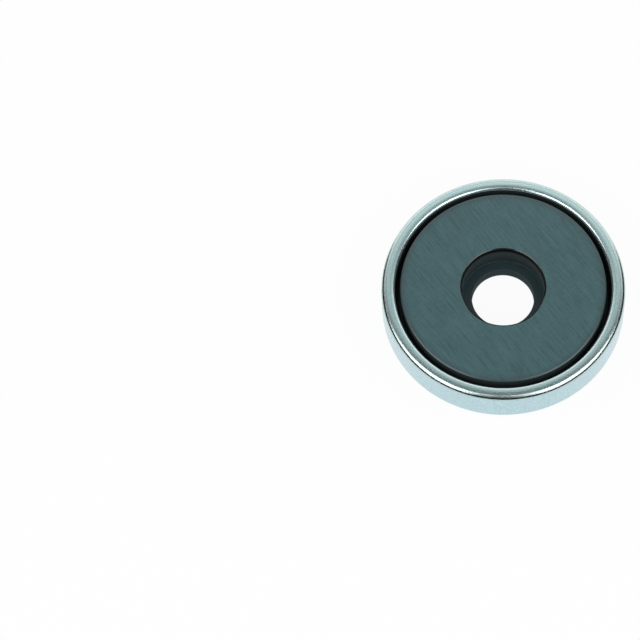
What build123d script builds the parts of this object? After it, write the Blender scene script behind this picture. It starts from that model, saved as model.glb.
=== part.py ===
from build123d import *

import os

# A shallow pot magnet: a pressed steel pot with a ring magnet bonded to its floor.
# Millimetres. The pot's flat back lies on Z = 0, its axis is Z and its open rim faces +Z.

# Driving dimensions of the steel pot
pot_diameter = 50.0
pot_height = 8.6
wall_thickness = 2.75
base_thickness = 3.0
fixing_hole_diameter = 12.8
rim_outer_round = 0.9
rim_inner_round = 0.6
back_corner_round = 0.5
hole_die_roll = 0.3  # the smooth lead-in that the hole's punch leaves on the back

# Driving dimensions of the ring magnet
magnet_bore_diameter = 17.0  # wide enough for the head of the fixing screw
magnet_edge_chamfer = 0.15

# Clearances and the bond
side_gap = 1.15  # open ring between the magnet and the pot's wall, which keeps the poles apart
face_recess = 0.05  # the magnet's face lies this far below the rim, so that the steel takes the knocks
bond_thickness = 0.1

# Limits that keep each round inside the metal or the gap that holds it
largest_share_of_wall = 0.4
largest_share_of_base = 0.4
largest_share_of_gap = 0.6

# Radii
pot_outer_radius = pot_diameter / 2
pot_inner_radius = pot_outer_radius - wall_thickness
fixing_hole_radius = fixing_hole_diameter / 2
magnet_outer_radius = pot_inner_radius - side_gap
magnet_bore_radius = magnet_bore_diameter / 2

# Heights, from the back upwards
floor_height = base_thickness
magnet_bottom = floor_height + bond_thickness
magnet_top = pot_height - face_recess

# Rounds
floor_corner_round = largest_share_of_gap * side_gap  # leaves the magnet's edge clear of the corner
rim_outer_round = min(rim_outer_round, largest_share_of_wall * wall_thickness)
rim_inner_round = min(rim_inner_round, largest_share_of_wall * wall_thickness)
back_corner_round = min(back_corner_round, largest_share_of_base * base_thickness)
hole_die_roll = min(hole_die_roll, largest_share_of_base * base_thickness)


def turned(corners, ease=fillet):
    """Revolve a closed outline about Z. Each corner is (radius, height, size of its round or chamfer)."""
    outline = Polyline(*[(radius, height) for radius, height, _ in corners], close=True)
    section = make_face(outline)
    for radius, height, size in corners:
        if size > 0:
            corner = section.vertices().sort_by_distance((radius, height))[0]
            section = ease(corner, size)
    return revolve(Plane.XZ * section, Axis.Z)


def steel_pot():
    """One pressed cup: a flat base with the fixing hole, and a wall that ends in the flat rim."""
    return turned(
        [
            (fixing_hole_radius, 0, hole_die_roll),
            (pot_outer_radius, 0, back_corner_round),
            (pot_outer_radius, pot_height, rim_outer_round),
            (pot_inner_radius, pot_height, rim_inner_round),
            (pot_inner_radius, floor_height, floor_corner_round),
            (fixing_hole_radius, floor_height, 0),
        ]
    )


def ring_magnet():
    """One pressed and sintered ferrite ring, ground flat on both faces, with its four edges chamfered."""
    return turned(
        [
            (magnet_bore_radius, magnet_bottom, magnet_edge_chamfer),
            (magnet_outer_radius, magnet_bottom, magnet_edge_chamfer),
            (magnet_outer_radius, magnet_top, magnet_edge_chamfer),
            (magnet_bore_radius, magnet_top, magnet_edge_chamfer),
        ],
        ease=chamfer,
    )


def adhesive_bond():
    """The thin layer of set epoxy that coats the pot's floor, from the fixing hole to the wall's corner."""
    bond_outer_radius = pot_inner_radius - floor_corner_round
    return turned(
        [
            (fixing_hole_radius, floor_height, 0),
            (bond_outer_radius, floor_height, 0),
            (bond_outer_radius, magnet_bottom, 0),
            (fixing_hole_radius, magnet_bottom, 0),
        ]
    )


pieces = {
    "steel_pot": steel_pot(),
    "ring_magnet": ring_magnet(),
    "adhesive_bond": adhesive_bond(),
}

os.makedirs("parts", exist_ok=True)
for name, piece in pieces.items():
    export_step(piece, f"parts/{name}.step")
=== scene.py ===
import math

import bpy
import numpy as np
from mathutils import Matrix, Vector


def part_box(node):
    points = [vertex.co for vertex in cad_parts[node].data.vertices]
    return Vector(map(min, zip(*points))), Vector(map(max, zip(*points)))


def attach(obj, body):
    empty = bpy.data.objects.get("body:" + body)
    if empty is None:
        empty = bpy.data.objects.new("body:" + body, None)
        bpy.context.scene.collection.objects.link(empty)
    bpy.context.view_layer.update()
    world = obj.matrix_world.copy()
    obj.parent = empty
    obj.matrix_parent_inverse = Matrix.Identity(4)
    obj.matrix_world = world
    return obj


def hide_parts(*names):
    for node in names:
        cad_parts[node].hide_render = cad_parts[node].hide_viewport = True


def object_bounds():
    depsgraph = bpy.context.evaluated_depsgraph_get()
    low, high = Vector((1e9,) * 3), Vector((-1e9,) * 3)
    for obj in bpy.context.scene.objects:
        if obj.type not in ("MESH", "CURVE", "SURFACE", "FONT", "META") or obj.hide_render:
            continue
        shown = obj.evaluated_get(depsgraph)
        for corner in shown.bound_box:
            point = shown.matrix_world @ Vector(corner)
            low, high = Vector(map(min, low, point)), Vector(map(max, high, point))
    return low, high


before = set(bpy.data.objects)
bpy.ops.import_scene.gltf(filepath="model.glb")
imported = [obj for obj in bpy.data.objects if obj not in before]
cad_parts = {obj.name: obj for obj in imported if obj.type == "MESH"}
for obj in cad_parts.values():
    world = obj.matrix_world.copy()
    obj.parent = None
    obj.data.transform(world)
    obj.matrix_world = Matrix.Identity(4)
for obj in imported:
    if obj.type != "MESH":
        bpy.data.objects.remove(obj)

# %% [markdown]
# # A shallow pot magnet
#
# The object is a pressed steel cup, bright zinc plated, with a ring of dark ferrite bonded to its floor.
# Everything on it is round about one axis, so every shape here is a *surface of revolution*: one section
# in (radius, height), carried once round the Z axis. The frame already holds the real sizes. This lesson
# measures them, draws each section again with far finer rounds, and then spends its effort on the
# finishes, because bright metal is mostly a picture of what stands round it.

MM = 0.001
cad_box = [list(corner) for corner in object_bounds()]
print("packed part:", [round((high - low) / MM, 2) for low, high in zip(*cad_box)], "mm")

# %% [markdown]
# ## The camera
#
# The view is a long-lens one from high in front: almost no perspective, with the near wall of the pot
# just showing under its rim. The camera is placed by its direction from the middle of the rim, then
# turned a little about its own axis, because the magnet isn't quite level in the picture. It aims past
# the magnet, which therefore sits right of the middle.

# %% The camera, from an elevation, a roll, a distance and an aim
rim_centre = Vector((0, 0, cad_box[1][2]))
elevation, roll, distance = math.radians(65.4), math.radians(-1.35), 0.75
image_pixels, sensor_mm = 640, 36
pot_radius_pixels = 121.9
pixels_right, pixels_up = 183.25, 33.2  # from the middle of the image to the middle of the rim
metres_a_pixel = cad_box[1][0] / pot_radius_pixels

toward = Vector((0, -math.cos(elevation), math.sin(elevation)))
level_right, level_up = Vector((1, 0, 0)), Vector((0, math.sin(elevation), math.cos(elevation)))
right = math.cos(roll) * level_right - math.sin(roll) * level_up
up = math.sin(roll) * level_right + math.cos(roll) * level_up
aim = rim_centre - (pixels_right * right + pixels_up * up) * metres_a_pixel

camera = bpy.data.objects.new("camera", bpy.data.cameras.new("camera"))
bpy.context.collection.objects.link(camera)
place = rim_centre + toward * distance
ahead = (aim - place).normalized()
right = (right - ahead * right.dot(ahead)).normalized()
turn = Matrix((right, right.cross(ahead), -ahead)).transposed()
camera.matrix_world = Matrix.Translation(place) @ turn.to_4x4()
camera.data.sensor_width = sensor_mm
camera.data.lens = sensor_mm * distance / metres_a_pixel / image_pixels
camera.data.clip_start, camera.data.clip_end = 0.01, 10  # metres
bpy.context.scene.camera = camera
print("lens", round(camera.data.lens, 1), "mm")

# %% [markdown]
# ## Sizes
#
# The outer sizes come from the frame's boxes, so that the surfaces stay on the solids. A box can't tell
# the wall, the bore or the rounds, so those few are written out, in millimetres. The rim's two rounds are
# a little larger here than in the solids, and its flat has a slight crown.

# %% Sizes, in millimetres
def half_width(node):
    """Half of a node's width along X."""
    low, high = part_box(node)
    return (high[0] - low[0]) / 2 / MM


def heights(node):
    """A node's lowest and highest Z."""
    low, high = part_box(node)
    return low[2] / MM, high[2] / MM


pot_radius = half_width("steel_pot")
pot_back, pot_rim = heights("steel_pot")
magnet_radius = half_width("ring_magnet")
magnet_bottom, magnet_top = heights("ring_magnet")
bond_radius = half_width("adhesive_bond")
floor_height, bond_top = heights("adhesive_bond")

wall_thickness = 2.75
hole_radius = 6.4
bore_radius = 8.5
rim_outer_round = 1.1
rim_inner_round = 0.68
back_corner_round = 0.5
hole_die_roll = 0.3
magnet_chamfer = 0.15
crown_radius = 3.7
outer_fall, inner_fall = math.radians(7), math.radians(8)  # the slopes on either side of the crown
pot_inner_radius = pot_radius - wall_thickness
floor_corner_round = pot_inner_radius - bond_radius
print(f"pot {pot_radius:.2f} x {pot_rim:.2f}")
print(f"magnet {magnet_radius:.2f}, {magnet_bottom:.2f} to {magnet_top:.2f}")

# %% [markdown]
# ## A section, and turning it
#
# A section is a closed loop of corners in (radius, height), listed anticlockwise. Each corner becomes a
# short arc, sampled so finely that a mirror finish shows no facets, and each straight side between two
# arcs is divided so that the quads keep a good shape. Turning is one array product: every point of the
# section times the cosine and sine of every angle. The loop is closed in both directions, so there is no
# pole and no seam. The exact normals go into the mesh with the points, because bright metal would show
# the small errors of averaged ones.

# %% A closed section with rounded corners
def swing(first, last, angle, t):
    """Unit vectors that turn evenly from first to last, which stand angle apart:
    (first * sin((1 - t) * angle) + last * sin(t * angle)) / sin(angle)."""
    return (first * np.sin((1 - t) * angle) + last * np.sin(t * angle)) / np.sin(angle)


def rounded_section(corners, arc_steps=15, side_step=1.2):
    """Points and outward normals of a closed loop, whose corner (radius, height, r) is an arc of radius r.
    The arc starts r / tan(half the corner's angle) before the corner, and the way along the loop swings
    evenly over it. The normal is that way turned a quarter to the right."""
    corner = np.array([[x, z] for x, z, _ in corners], float)
    to_last = np.roll(corner, 1, axis=0) - corner
    to_next = np.roll(corner, -1, axis=0) - corner
    to_last /= np.linalg.norm(to_last, axis=1, keepdims=True)
    to_next /= np.linalg.norm(to_next, axis=1, keepdims=True)
    half = np.arccos(np.clip((to_last * to_next).sum(axis=1), -1, 1)) / 2
    reach = np.array([r for _, _, r in corners]) / np.tan(half)
    start = corner + to_last * reach[:, None]
    end = corner + to_next * reach[:, None]
    points, ways = [], []
    for i, (_, _, r) in enumerate(corners):
        middle = (to_last[i] + to_next[i]) / np.linalg.norm(to_last[i] + to_next[i])
        centre = corner[i] + middle * r / np.sin(half[i])
        t = np.linspace(0, 1, arc_steps)[:, None]
        angle = math.pi - 2 * half[i]
        points.append(centre + r * swing((start[i] - centre) / r, (end[i] - centre) / r, angle, t))
        ways.append(swing(-to_last[i], to_next[i], angle, t))
        run = start[(i + 1) % len(corners)] - end[i]
        t = np.linspace(0, 1, 1 + max(1, round(np.linalg.norm(run) / side_step)))[1:-1, None]
        points.append(end[i] + run * t)
        ways.append(to_next[i] + 0 * t)
    points, ways = np.concatenate(points), np.concatenate(ways)
    return points, np.stack([ways[:, 1], -ways[:, 0]], axis=1)


square = [(1, 0, 0.2), (2, 0, 0.2), (2, 1, 0.2), (1, 1, 0.2)]
print("a square with rounded corners has", len(rounded_section(square)[0]), "points")

# %% [markdown]
# A turned section becomes a mesh of quads. Each of its points gives one ring of vertices.

# %% A section turned once round the axis
def turned_surface(name, section, around=512):
    """The surface (r cos a, r sin a, z) for every point (r, z) of the section and every angle a, with the
    section's normals turned by the same angle."""
    points, normals = section
    a = np.linspace(0, 2 * math.pi, around, endpoint=False)
    spin = np.stack([np.cos(a), np.sin(a), np.ones_like(a)], axis=1)
    verts = (points[:, [0, 0, 1]][:, None] * spin).reshape(-1, 3) * MM
    facing = (normals[:, [0, 0, 1]][:, None] * spin).reshape(-1, 3)
    i, j = np.meshgrid(np.arange(len(points)), np.arange(around), indexing="ij")
    row, next_row = i * around, (i + 1) % len(points) * around
    j_next = (j + 1) % around
    quads = np.stack([row + j, row + j_next, next_row + j_next, next_row + j], axis=-1)
    mesh = bpy.data.meshes.new(name)
    mesh.from_pydata(verts.tolist(), [], quads.reshape(-1, 4).tolist())
    mesh.shade_smooth()
    mesh.normals_split_custom_set_from_vertices(facing.tolist())
    piece = bpy.data.objects.new(name, mesh)
    bpy.context.collection.objects.link(piece)
    print(name, "has", 2 * len(mesh.polygons), "triangles")
    return piece


# %% [markdown]
# ## The pressed pot
#
# The cup is pressed from steel. The back corner and the rim's two edges are rounded, the hole's back edge
# has the roll that a punch leaves, and the rim is drawn with a slight crown: two gentle slopes that meet
# in a wide round, whose highest point is the rim's height. The crown spreads a reflection over the rim
# that a dead flat one would show as a single tone. The cup could be a cylinder with bevelled edges, but a
# section states every round by its own radius.

# %% The pot's surface
# The crown's corner stands above the rim by what its own round takes off.
crown_middle = (pot_radius - rim_outer_round + pot_inner_radius + rim_inner_round) / 2
crown_corner = pot_rim + crown_radius * (
    math.cos((outer_fall - inner_fall) / 2) / math.cos((outer_fall + inner_fall) / 2) - 1)
outer_corner = crown_corner - (pot_radius - crown_middle) * math.tan(outer_fall)
inner_corner = crown_corner - (crown_middle - pot_inner_radius) * math.tan(inner_fall)
hole_top_round = 0.05
pot = turned_surface("plated_pot", rounded_section([
    (hole_radius, pot_back, hole_die_roll),
    (pot_radius, pot_back, back_corner_round),
    (pot_radius, outer_corner, rim_outer_round),
    (crown_middle, crown_corner, crown_radius),
    (pot_inner_radius, inner_corner, rim_inner_round),
    (pot_inner_radius, floor_height, floor_corner_round),
    (hole_radius, floor_height, hole_top_round),
]))
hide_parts("steel_pot")
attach(pot, "root")

# %% [markdown]
# ## The ferrite ring
#
# A ferrite ring is pressed from powder, sintered, and then ground flat on its two faces. Its edges are
# chamfered so that they don't chip. The chamfers are drawn a little wider than in the solids and with
# soft corners, as worn ones are, and the one round the top of the bore is the steepest. As corners of the
# section they catch the light as real faces do, which a bump on a sharp edge can't.

# %% The ring's surface
worn_edge, soft = 0.3, 0.12
bore_edge, bore_drop = 0.32, 0.25
ring = turned_surface("ferrite_ring", rounded_section([
    (bore_radius, magnet_bottom + magnet_chamfer, soft),
    (bore_radius + worn_edge, magnet_bottom, soft),
    (magnet_radius - worn_edge, magnet_bottom, soft),
    (magnet_radius, magnet_bottom + magnet_chamfer, soft),
    (magnet_radius, magnet_top - magnet_chamfer, soft),
    (magnet_radius - worn_edge, magnet_top, soft),
    (bore_radius + bore_edge, magnet_top, soft),
    (bore_radius, magnet_top - bore_drop, soft),
], arc_steps=7))
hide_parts("ring_magnet")
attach(ring, "root")

# %% [markdown]
# ## The bond
#
# A thin coat of black epoxy holds the ring. It shows as a smooth dark ledge inside the bore, and at the
# bottom of the gap outside the ring. In the bore it climbs the ring a little, as wet resin does. The
# solid is a flat coat, so it is drawn again with that climb. Under the ring it lies a little lower, so
# that no two faces share a plane.

# %% The bond's surface
climb = 0.12
bond_corner, hole_edge_round = 0.02, 0.07
dip = 0.02  # how much lower the coat lies under the ring
tuck, lap = 0.3, 0.01  # the dip starts a tuck inside the ring's walls, and the open coat a lap outside them
bond = turned_surface("epoxy_bond", rounded_section([
    (hole_radius, floor_height, bond_corner),
    (bond_radius, floor_height, bond_corner),
    (bond_radius, bond_top, bond_corner),
    (magnet_radius + lap, bond_top, bond_corner),
    (magnet_radius - tuck, bond_top - dip, bond_corner),
    (bore_radius + tuck, bond_top - dip, bond_corner),
    (bore_radius - lap, bond_top + climb, bond_corner),
    (bore_radius - climb, bond_top, climb),
    (hole_radius, bond_top, hole_edge_round),
], arc_steps=7))
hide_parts("adhesive_bond")
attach(bond, "root")

# %% [markdown]
# ## Colours and nodes
#
# Every colour is written as an sRGB hex value, and one function turns it to the linear numbers that the
# shader wants. One helper adds a node. Everything here is round about Z, so two of the finishes measure
# a point's distance from the axis.

# %% Colour and node helpers
def colour(hex_value):
    """Linear RGBA of an sRGB hex value: v / 12.92 below 0.04045, else ((v + 0.055) / 1.055) ** 2.4."""
    v = np.array([int(hex_value[i:i + 2], 16) / 255 for i in (1, 3, 5)])
    rgb = np.where(v <= 0.04045, v / 12.92, ((v + 0.055) / 1.055) ** 2.4)
    return (*rgb.tolist(), 1)


def add_node(tree, kind, inputs=None, **settings):
    """Adds a node with its settings. An input that is given a socket is linked, any other value is set."""
    node = tree.nodes.new(kind)
    for name, value in settings.items():
        setattr(node, name, value)
    for name, value in (inputs or {}).items():
        if isinstance(value, bpy.types.NodeSocket):
            tree.links.new(value, node.inputs[name])
        else:
            node.inputs[name].default_value = value
    return node


def new_material(name):
    """An empty node tree of that name, with its output node."""
    material = bpy.data.materials.new(name)
    material.use_nodes = True
    material.node_tree.nodes.clear()
    return material, material.node_tree, material.node_tree.nodes.new("ShaderNodeOutputMaterial")


def from_axis(tree, place):
    """The distance of a point from the Z axis: the length of (x, y, 0)."""
    flat = add_node(tree, "ShaderNodeVectorMath", {0: place, 1: (1, 1, 0)}, operation="MULTIPLY")
    return add_node(tree, "ShaderNodeVectorMath", {0: flat.outputs[0]}, operation="LENGTH").outputs["Value"]


print("#808080 is", round(colour("#808080")[0], 4), "in linear light")

# %% [markdown]
# ## Bright zinc plate on pressed steel
#
# Zinc plate with a clear blue passivation is a metal of a cold pale tint. The sheet's own texture stays
# under it as a fine satin grain, the passivate's colour wanders a little, and the drawn wall is bluer.
# The wall is also painted slightly darker than the rim, as shade. Noise in object space gives the grain
# and the drift. An image would have to be unwrapped, and would stretch over the rounds.

# %% The plate's grain and tint
plate, tree, output = new_material("blue_passivated_zinc_plate")
place = add_node(tree, "ShaderNodeTexCoord").outputs["Object"]
height = add_node(tree, "ShaderNodeSeparateXYZ", {0: place}).outputs["Z"]
radius = from_axis(tree, place)
grain_mm, drift_mm = 0.22, 7.0  # the real grain is about 0.1 mm, drawn coarser so that it shows
grain = add_node(tree, "ShaderNodeTexNoise",
                 {"Vector": place, "Scale": 1 / (grain_mm * MM), "Detail": 3, "Roughness": 0.65})
drift = add_node(tree, "ShaderNodeTexNoise", {"Vector": place, "Scale": 1 / (drift_mm * MM), "Detail": 2})
tint = add_node(tree, "ShaderNodeMix",
                {0: drift.outputs["Fac"], 6: colour("#BCDEE1"), 7: colour("#C5E0DC")}, data_type="RGBA")
wall_from, wall_to, wall_shade = 0.12, 0.01, 0.97  # the wall's colour sets in between these depths
wall = add_node(tree, "ShaderNodeMapRange",
                {"Value": radius, "From Min": (pot_radius - wall_from) * MM,
                 "From Max": (pot_radius - wall_to) * MM})
tint = add_node(tree, "ShaderNodeMix", {0: wall.outputs[0], 6: tint.outputs[2], 7: colour("#BCDBE2")},
                data_type="RGBA")
# Painted shade: the wall is painted a little darker than the rim.
wall_painted_shade = add_node(tree, "ShaderNodeMapRange",
                      {"Value": wall.outputs[0], "To Min": 1.0, "To Max": wall_shade})
grain_low, grain_high = 0.3, 0.7  # most of the noise lies between these
speck_dark, speck_light = 0.66, 1.22
speck = add_node(tree, "ShaderNodeMapRange",
                 {"Value": grain.outputs["Fac"], "From Min": grain_low, "From Max": grain_high,
                  "To Min": speck_dark, "To Max": speck_light})
speck = add_node(tree, "ShaderNodeMath", {0: speck.outputs[0], 1: wall_painted_shade.outputs[0]},
                 operation="MULTIPLY")
print("grain", grain_mm, "mm, drift", drift_mm, "mm")

# %% [markdown]
# The rim is drawn with two faint darker lines that run round it, and with painted highlights: a paler tint
# on its outer round and along its inner edge. Each could be a thin extra shape, but as a function of the
# distance from the axis it adds no edge. A mask on height keeps them off the back and the lower wall.

# %% The rim's lines and painted highlights
mark_bottom, mark_top = 2.0, 1.2  # depths below the rim between which the marks fade in
on_rim = add_node(tree, "ShaderNodeMapRange",
                  {"Value": height, "From Min": (pot_rim - mark_bottom) * MM,
                   "From Max": (pot_rim - mark_top) * MM})
line_half_width = 0.1
rim_lines = ((crown_middle + 0.6, 0.8), (crown_middle - 0.3, 0.86))  # the radius and shade of each
for line_radius, line_shade in rim_lines:
    line = add_node(tree, "ShaderNodeMath", {0: radius, 1: line_radius * MM, 2: line_half_width * MM},
                    operation="COMPARE")
    line = add_node(tree, "ShaderNodeMath", {0: line.outputs[0], 1: on_rim.outputs[0]},
                    operation="MULTIPLY")
    line = add_node(tree, "ShaderNodeMapRange",
                    {"Value": line.outputs[0], "To Min": 1.0, "To Max": line_shade})
    speck = add_node(tree, "ShaderNodeMath", {0: speck.outputs[0], 1: line.outputs[0]},
                     operation="MULTIPLY")

# The paler tints on the rim's outer round and along its inner edge are painted highlights.
highlight_share = 0.6  # of the outer round, in from the wall: where its pale tint is full
rim_end_from, rim_end_to = 0.05, 0.15  # depths from the wall between which that tint sets in
outer_highlight = add_node(tree, "ShaderNodeMapRange",
                      {"Value": radius, "From Min": (pot_radius - rim_outer_round) * MM,
                       "From Max": (pot_radius - highlight_share * rim_outer_round) * MM})
off_wall = add_node(tree, "ShaderNodeMapRange",
                    {"Value": radius, "From Min": (pot_radius - rim_end_from) * MM,
                     "From Max": (pot_radius - rim_end_to) * MM})
outer_highlight = add_node(tree, "ShaderNodeMath", {0: outer_highlight.outputs[0], 1: off_wall.outputs[0]},
                      operation="MULTIPLY")
inner_from, inner_to = 0.6, 0.35  # from the inner wall outwards
inner_highlight = add_node(tree, "ShaderNodeMapRange",
                      {"Value": radius, "From Min": (pot_inner_radius + inner_from) * MM,
                       "From Max": (pot_inner_radius + inner_to) * MM})
for highlight, highlight_tint in ((outer_highlight, "#CFE2E0"), (inner_highlight, "#DCF1F4")):
    highlight = add_node(tree, "ShaderNodeMath", {0: highlight.outputs[0], 1: on_rim.outputs[0]},
                    operation="MULTIPLY")
    tint = add_node(tree, "ShaderNodeMix", {0: highlight.outputs[0], 6: tint.outputs[2], 7: colour(highlight_tint)},
                    data_type="RGBA")
tint = add_node(tree, "ShaderNodeVectorMath", {0: tint.outputs[2], "Scale": speck.outputs[0]},
                operation="SCALE")
print("rim lines at", [round(line_radius, 2) for line_radius, _ in rim_lines], "mm")

# %% [markdown]
# The insides of the gap and of the fixing hole are dark, and why isn't known. They are drawn nearly black,
# dull and not metal, which keeps the metal from mirroring the studio there. The dark starts on the rim's
# inner round and ends short of the back, where the hole's edge is bright again.

# %% The dark insides, and the plate's shader
inside_from, inside_to = 0.12, 0.02  # from the inner wall outwards
inside = add_node(tree, "ShaderNodeMapRange",
                  {"Value": radius, "From Min": (pot_inner_radius + inside_from) * MM,
                   "From Max": (pot_inner_radius + inside_to) * MM})
dark_start, dark_full = 0.3, 0.5  # down from the rim, as shares of its inner round
deep = add_node(tree, "ShaderNodeMapRange",
                {"Value": height, "From Min": (pot_rim - dark_start * rim_inner_round) * MM,
                 "From Max": (pot_rim - dark_full * rim_inner_round) * MM})
bright_edge, dark_edge = 0.3, 0.5  # above the back
above = add_node(tree, "ShaderNodeMapRange",
                 {"Value": height, "From Min": bright_edge * MM, "From Max": dark_edge * MM})
# The insides are drawn nearly black, dull and not metal.
dark_insides = add_node(tree, "ShaderNodeMath", {0: deep.outputs[0], 1: above.outputs[0]}, operation="MULTIPLY")
dark_insides = add_node(tree, "ShaderNodeMath", {0: inside.outputs[0], 1: dark_insides.outputs[0]}, operation="MULTIPLY")
skin = add_node(tree, "ShaderNodeMix", {0: dark_insides.outputs[0], 6: tint.outputs[0], 7: colour("#15292C")},
                data_type="RGBA")
smooth, rough, dark_roughness = 0.14, 0.26, 0.9
gloss = add_node(tree, "ShaderNodeMapRange",
                 {"Value": grain.outputs["Fac"], "From Min": grain_low, "From Max": grain_high,
                  "To Min": smooth, "To Max": rough})
gloss = add_node(tree, "ShaderNodeMix", {0: dark_insides.outputs[0], 2: gloss.outputs[0], 3: dark_roughness},
                 data_type="FLOAT")
metal = add_node(tree, "ShaderNodeMapRange", {"Value": dark_insides.outputs[0], "To Min": 1.0, "To Max": 0.0})
grain_height = 0.03
bump = add_node(tree, "ShaderNodeBump",
                {"Height": grain.outputs["Fac"], "Strength": 0.8, "Distance": grain_height * MM})
shader = add_node(tree, "ShaderNodeBsdfPrincipled",
                  {"Base Color": skin.outputs[2], "Metallic": metal.outputs[0],
                   "Roughness": gloss.outputs[0], "Normal": bump.outputs["Normal"]})
tree.links.new(shader.outputs[0], output.inputs[0])
pot.data.materials.append(plate)
print("plate:", len(tree.nodes), "nodes")

# %% [markdown]
# ## Ground ferrite
#
# Sintered ferrite is a dark grey ceramic with a high index. Grinding leaves fine straight lines on its
# two faces, all one way, and makes them shinier than the sintered sides. The lines could be a wave
# pattern, but noise stretched along the grinding direction never repeats and is as uneven as grinding.
# Some grit and slow patches are mixed in, and painted shade makes the face a little darker towards its
# outer edge.

# %% The ground face
ferrite, tree, output = new_material("ground_sintered_ferrite")
place = add_node(tree, "ShaderNodeTexCoord").outputs["Object"]
height = add_node(tree, "ShaderNodeSeparateXYZ", {0: place}).outputs["Z"]
radius = from_axis(tree, place)
# Real grinding lines are finer than 0.1 mm. They are drawn coarser so that they show.
line_mm, line_length_mm, line_turn = 0.19, 7, math.radians(-51.7)
grit_mm, patch_mm = 0.3, 5.0
lay = add_node(tree, "ShaderNodeMapping",
               {"Vector": place, "Rotation": (0, 0, line_turn),
                "Scale": (line_length_mm * MM, line_mm * MM, line_mm * MM)}, vector_type="TEXTURE")
lines = add_node(tree, "ShaderNodeTexNoise",
                 {"Vector": lay.outputs[0], "Scale": 1, "Detail": 3, "Roughness": 0.6})
grit = add_node(tree, "ShaderNodeTexNoise", {"Vector": place, "Scale": 1 / (grit_mm * MM), "Detail": 2})
patches = add_node(tree, "ShaderNodeTexNoise", {"Vector": place, "Scale": 1 / (patch_mm * MM)})
grit_share, patch_share = 0.3, 0.12
mixed = add_node(tree, "ShaderNodeMix", {0: grit_share, 2: lines.outputs["Fac"], 3: grit.outputs["Fac"]},
                 data_type="FLOAT")
mixed = add_node(tree, "ShaderNodeMix", {0: patch_share, 2: mixed.outputs[0], 3: patches.outputs["Fac"]},
                 data_type="FLOAT")
streak_low, streak_high = 0.35, 0.65
streak = add_node(tree, "ShaderNodeMapRange",
                  {"Value": mixed.outputs[0], "From Min": streak_low, "From Max": streak_high})
shade = add_node(tree, "ShaderNodeMix", {0: streak.outputs[0], 6: colour("#1B3E41"), 7: colour("#3A6368")},
                 data_type="RGBA")
shade_from, shade_to, edge_shade = 1.5, 0.2, 0.66  # from the ring's outside inwards
# Painted shade: the face is darker towards the ring's outer edge.
painted_edge_shade = add_node(tree, "ShaderNodeMapRange",
                {"Value": radius, "From Min": (magnet_radius - shade_from) * MM,
                 "From Max": (magnet_radius - shade_to) * MM, "To Min": 1.0, "To Max": edge_shade})
shade = add_node(tree, "ShaderNodeVectorMath", {0: shade.outputs[2], "Scale": painted_edge_shade.outputs[0]},
                 operation="SCALE")
print("grinding lines", line_mm, "mm wide")

# %% [markdown]
# The sintered sides are dark and matt, and the chamfers along the top face are smoother. In the bore the
# chamfer is drawn darker than outside, and a nearly black band of painted shade, with no sheen, lies below
# it. Height and distance from the axis tell these apart, so one material serves the whole ring.

# %% The sides, the edges and the band of painted shade in the bore
skin_depth, skin_blur = 0.005, 0.02  # how near to a ground face a point counts as ground
ground_top = add_node(tree, "ShaderNodeMapRange",
                      {"Value": height, "From Min": (magnet_top - skin_blur) * MM,
                       "From Max": (magnet_top - skin_depth) * MM})
ground_low = add_node(tree, "ShaderNodeMapRange",
                      {"Value": height, "From Min": (magnet_bottom + skin_blur) * MM,
                       "From Max": (magnet_bottom + skin_depth) * MM})
ground = add_node(tree, "ShaderNodeMath", {0: ground_top.outputs[0], 1: ground_low.outputs[0]},
                  operation="ADD")
bore_side = 1  # what lies within this of the bore belongs to it
bore = add_node(tree, "ShaderNodeMath", {0: radius, 1: (bore_radius + bore_side) * MM},
                operation="LESS_THAN")
# Painted shade: a nearly black band in the bore below its top edge.
shade_band_bottom, shade_band_full = 1.6, 0.9  # depths below the face: where the band is gone, and full
shade_band = add_node(tree, "ShaderNodeMapRange",
                {"Value": height, "From Min": (magnet_top - shade_band_bottom) * MM,
                 "From Max": (magnet_top - shade_band_full) * MM})
shade_band = add_node(tree, "ShaderNodeMath", {0: shade_band.outputs[0], 1: bore.outputs[0]}, operation="MULTIPLY")
side = add_node(tree, "ShaderNodeMix", {0: shade_band.outputs[0], 6: colour("#10282B"), 7: colour("#030606")},
                data_type="RGBA")
edge_bottom, edge_full = 0.18, 0.14  # depths below the face
edge = add_node(tree, "ShaderNodeMapRange",
                {"Value": height, "From Min": (magnet_top - edge_bottom) * MM,
                 "From Max": (magnet_top - edge_full) * MM})
chamfer = add_node(tree, "ShaderNodeMix",
                   {0: bore.outputs[0], 6: colour("#26393C"), 7: colour("#0A1517")}, data_type="RGBA")
side = add_node(tree, "ShaderNodeMix", {0: edge.outputs[0], 6: side.outputs[2], 7: chamfer.outputs[2]},
                data_type="RGBA")
body = add_node(tree, "ShaderNodeMix", {0: ground.outputs[0], 6: side.outputs[2], 7: shade.outputs[0]},
                data_type="RGBA")
# The band of painted shade also has no sheen.
no_sheen = add_node(tree, "ShaderNodeMath", {0: shade_band.outputs[0], 1: edge.outputs[0]},
                    operation="SUBTRACT", use_clamp=True)
sheen = add_node(tree, "ShaderNodeMix", {0: no_sheen.outputs[0], 6: (1, 1, 1, 1), 7: (0, 0, 0, 1)},
                 data_type="RGBA")
print("dark band: full down to", shade_band_full, "mm, gone at", shade_band_bottom, "mm")

# %% [markdown]
# Roughness goes from a shiny chamfer in the bore, through the outer one and the ground face, to the matt
# sides. The bump follows the grinding lines and stays on the ground faces.

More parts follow.
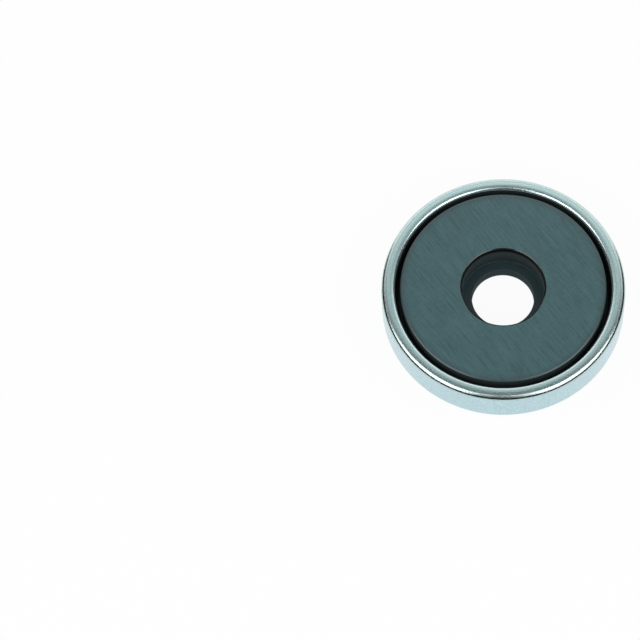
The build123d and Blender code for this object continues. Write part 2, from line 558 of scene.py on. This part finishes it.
# %% The ring's gloss and shader
outer_edge_rough, bore_edge_rough, side_rough, face_rough = 0.32, 0.18, 0.85, 0.38
gloss = add_node(tree, "ShaderNodeMix", {0: bore.outputs[0], 2: outer_edge_rough, 3: bore_edge_rough},
                 data_type="FLOAT")
gloss = add_node(tree, "ShaderNodeMix", {0: edge.outputs[0], 2: side_rough, 3: gloss.outputs[0]},
                 data_type="FLOAT")
gloss = add_node(tree, "ShaderNodeMix", {0: ground.outputs[0], 2: gloss.outputs[0], 3: face_rough},
                 data_type="FLOAT")
depth = add_node(tree, "ShaderNodeMath", {0: lines.outputs["Fac"], 1: ground.outputs[0]},
                 operation="MULTIPLY")
line_depth = 0.02
bump = add_node(tree, "ShaderNodeBump",
                {"Height": depth.outputs[0], "Strength": 0.4, "Distance": line_depth * MM})
shader = add_node(tree, "ShaderNodeBsdfPrincipled",
                  {"Base Color": body.outputs[2], "Metallic": 0, "IOR": 1.65,
                   "Roughness": gloss.outputs[0], "Specular Tint": sheen.outputs[2],
                   "Normal": bump.outputs["Normal"]})
tree.links.new(shader.outputs[0], output.inputs[0])
ring.data.materials.append(ferrite)
print("ferrite:", len(tree.nodes), "nodes")

# %% [markdown]
# ## Black epoxy
#
# The resin is nearly black, with a satin skin and a slow waviness from how it settled. So little of it
# shows that one noise serves for both the waves and a slight change of colour.

# %% The bond's finish
epoxy, tree, output = new_material("black_epoxy_resin")
place = add_node(tree, "ShaderNodeTexCoord")
wave_mm, wave_height = 1.5, 0.05
wave = add_node(tree, "ShaderNodeTexNoise", {"Vector": place.outputs["Object"], "Scale": 1 / (wave_mm * MM)})
bump = add_node(tree, "ShaderNodeBump",
                {"Height": wave.outputs["Fac"], "Strength": 0.3, "Distance": wave_height * MM})
shade = add_node(tree, "ShaderNodeMix", {0: wave.outputs["Fac"], 6: colour("#0C252A"), 7: colour("#143136")},
                 data_type="RGBA")
shader = add_node(tree, "ShaderNodeBsdfPrincipled",
                  {"Base Color": shade.outputs[2], "IOR": 1.5, "Roughness": 0.55,
                   "Normal": bump.outputs["Normal"]})
tree.links.new(shader.outputs[0], output.inputs[0])
bond.data.materials.append(epoxy)
print("epoxy:", len(tree.nodes), "nodes")

# %% [markdown]
# ## The studio
#
# Bright metal is a picture of the room. The room and the floor are white to the eye and in reflections,
# while a quieter light falls on the object.

# %% The room
def seen_directly(tree):
    """1 for what a camera, gloss or transmission ray meets, and 0 for the rays that light a matt surface."""
    path = add_node(tree, "ShaderNodeLightPath")
    seen = add_node(tree, "ShaderNodeMath",
                    {0: path.outputs["Is Camera Ray"], 1: path.outputs["Is Glossy Ray"]}, operation="ADD")
    seen = add_node(tree, "ShaderNodeMath", {0: seen.outputs[0], 1: path.outputs["Is Transmission Ray"]},
                    operation="ADD", use_clamp=True)
    return seen.outputs[0]


world = bpy.data.worlds.new("white_room")
bpy.context.scene.world = world
world.use_nodes = True
tree = world.node_tree
tree.nodes.clear()
quiet, white_level = 0.45, 1.0
level = add_node(tree, "ShaderNodeMapRange",
                 {"Value": seen_directly(tree), "To Min": quiet, "To Max": white_level})
light = add_node(tree, "ShaderNodeBackground", {"Color": (1, 1, 1, 1), "Strength": level.outputs[0]})
add_node(tree, "ShaderNodeOutputWorld", {"Surface": light.outputs[0]})
print("room:", quiet, "on the object,", white_level, "to the eye")

# %% [markdown]
# ## What the metal mirrors
#
# The pieces that follow show only in the object's gloss. A cloth scrim stands overhead, close behind the
# object and farther off in front. It is dark above and in front and bright behind, so the rim goes from
# dark on its near side to light on its far side. Two bright sheets just inside it, left and right of the
# camera, draw the bright lines along the rim's near outer round and its far inner one. A dark card low
# round the camera's side draws the thin dark line between rim and wall, and dark cards on the floor
# deepen it.

# %% Sheets that stand round the object, as parts of a sphere
def glossy_only_sheet(name, verts, quads):
    """A stage piece that only the object's gloss shows."""
    mesh = bpy.data.meshes.new(name)
    mesh.from_pydata(verts.reshape(-1, 3).tolist(), [], quads.reshape(-1, 4).tolist())
    sheet = bpy.data.objects.new(name, mesh)
    bpy.context.collection.objects.link(sheet)
    sheet.visible_camera = sheet.visible_diffuse = sheet.visible_shadow = False
    print(name, "has", len(mesh.polygons), "faces")
    return sheet


def shell(name, distance, azimuths, elevations, steps=(48, 24)):
    """The part of a sphere about the origin between two azimuths and two elevations, in degrees:
    distance * (cos e sin a, -cos e cos a, sin e), where azimuth 0 is the camera's side."""
    a = np.radians(np.linspace(*azimuths, steps[0]))[:, None]
    e = np.radians(np.linspace(*elevations, steps[1]))[None]
    verts = distance * np.stack([np.cos(e) * np.sin(a), -np.cos(e) * np.cos(a), np.sin(e) + 0 * a], axis=-1)
    i, j = np.meshgrid(np.arange(steps[0] - 1), np.arange(steps[1] - 1), indexing="ij")
    corner = i * steps[1] + j
    quads = np.stack([corner, corner + 1, corner + steps[1] + 1, corner + steps[1]], axis=-1)
    return glossy_only_sheet(name, verts, quads)


def glow(name, radiance):
    """A material of one even radiance."""
    material, tree, output = new_material(name)
    shader = add_node(tree, "ShaderNodeEmission", {"Color": (1, 1, 1, 1), "Strength": radiance})
    tree.links.new(shader.outputs[0], output.inputs[0])
    return material


# %% The scrim, from dark in front to bright behind
back_distance, front_distance, scrim_elevations = 0.25, 0.5, (20, 90)
back_scrim = shell("back_scrim", back_distance, (91, 269), scrim_elevations)
front_scrim = shell("front_scrim", front_distance, (-91, 91), scrim_elevations)
cloth, tree, output = new_material("grey_scrim")
place = add_node(tree, "ShaderNodeTexCoord")
axis = add_node(tree, "ShaderNodeSeparateXYZ", {0: place.outputs["Object"]})
dark_until, bright_from = 0.018, 0.165  # metres behind the object
dark_radiance, bright_radiance = 0.13, 1.0
back_light = add_node(tree, "ShaderNodeMapRange",
                      {"Value": axis.outputs["Y"], "From Min": dark_until, "From Max": bright_from,
                       "To Min": dark_radiance, "To Max": bright_radiance}, interpolation_type="SMOOTHSTEP")
shine = add_node(tree, "ShaderNodeEmission", {"Color": (1, 1, 1, 1), "Strength": back_light.outputs[0]})
tree.links.new(shine.outputs[0], output.inputs[0])
back_scrim.data.materials.append(cloth)
front_scrim.data.materials.append(cloth)
print("scrim: radiance", dark_radiance, "to", bright_radiance)


# %% Dark cards, low on the camera's side and on the floor
def floor_sheet(name, inner, outer, azimuths, steps=96):
    """A flat part of a ring, (r sin a, -r cos a), where azimuth 0 is the camera's side. It lies 0.1 mm
    up, clear of the floor."""
    a = np.radians(np.linspace(*azimuths, steps))
    way = np.stack([np.sin(a), -np.cos(a), 0 * a], axis=1)
    verts = np.concatenate([way * inner, way * outer]) + [0, 0, 0.1 * MM]
    k = np.arange(steps - 1)
    quads = np.stack([k, k + steps, k + steps + 1, k + 1], axis=1)
    return glossy_only_sheet(name, verts, quads)


card_distance = 0.2
card = shell("dark_card", card_distance, (-128, 128), (-1, 24))
black = glow("black_card", 0.0)
card.data.materials.append(black)
for name, inner, azimuths in (("left_floor_card", 0.05, (-128, -80)),
                              ("near_floor_card", 0.06, (-80, 80)),
                              ("right_floor_card", 0.05, (80, 128))):
    floor_sheet(name, inner, card_distance, azimuths).data.materials.append(black)
print("dark cards out to", card_distance, "m")

# %% Two bright sheets, left and right of the camera
sheet_distance, sheet_radiance = 0.45, 2.4
for name, azimuths in (("left_sheet", (-91, -25)), ("right_sheet", (25, 91))):
    sheet = shell(name, sheet_distance, azimuths, (28, 76))
    sheet.data.materials.append(glow(name, sheet_radiance))
print("two sheets of radiance", sheet_radiance)

# %% [markdown]
# ## The floor and the lamps
#
# The floor is white paper. To the eye it is nearly all an even white, and the small rest is a diffuse
# surface that keeps the object's shadow. Two soft boxes light the object from left and right, and stay
# out of its gloss, where the two sheets stand for them.

# %% The floor
half, below = 3, 0.05 * MM  # metres across its half, and how far under the pot's back it lies
mesh = bpy.data.meshes.new("floor")
corners = [(-half, -half, -below), (half, -half, -below), (half, half, -below), (-half, half, -below)]
mesh.from_pydata(corners, [], [(0, 1, 2, 3)])
floor = bpy.data.objects.new("floor", mesh)
bpy.context.collection.objects.link(floor)
paper, tree, output = new_material("white_paper")
even_white = 0.94
share = add_node(tree, "ShaderNodeMath", {0: seen_directly(tree), 1: even_white}, operation="MULTIPLY")
matt = add_node(tree, "ShaderNodeBsdfDiffuse", {"Color": (0.9, 0.9, 0.9, 1)})
white = add_node(tree, "ShaderNodeEmission", {"Color": (1, 1, 1, 1), "Strength": 1.0})
both = add_node(tree, "ShaderNodeMixShader", {0: share.outputs[0], 1: matt.outputs[0], 2: white.outputs[0]})
tree.links.new(both.outputs[0], output.inputs[0])
floor.data.materials.append(paper)
print("floor:", 2 * half, "m across")


# %% The lamps
def soft_box(name, azimuth, elevation, distance, width, tall, radiance):
    """An area lamp that faces the object. Its power is pi * area * radiance."""
    a, e = math.radians(azimuth), math.radians(elevation)
    lamp = bpy.data.lights.new(name, "AREA")
    lamp.shape, lamp.size, lamp.size_y = "RECTANGLE", width, tall
    lamp.energy = math.pi * width * tall * radiance
    stand = bpy.data.objects.new(name, lamp)
    stand.location = Vector((math.cos(e) * math.sin(a), -math.cos(e) * math.cos(a), math.sin(e))) * distance
    stand.rotation_euler = (-stand.location).to_track_quat("-Z", "Y").to_euler()
    bpy.context.collection.objects.link(stand)
    stand.visible_glossy = False
    return stand


for name, azimuth in (("left_box", -68), ("right_box", 68)):
    box = soft_box(name, azimuth, elevation=44, distance=0.7, width=1.1, tall=0.4, radiance=1.8)
    print(name, round(box.data.energy, 2), "W")

# %% View settings
bpy.context.scene.view_settings.view_transform = "Standard"
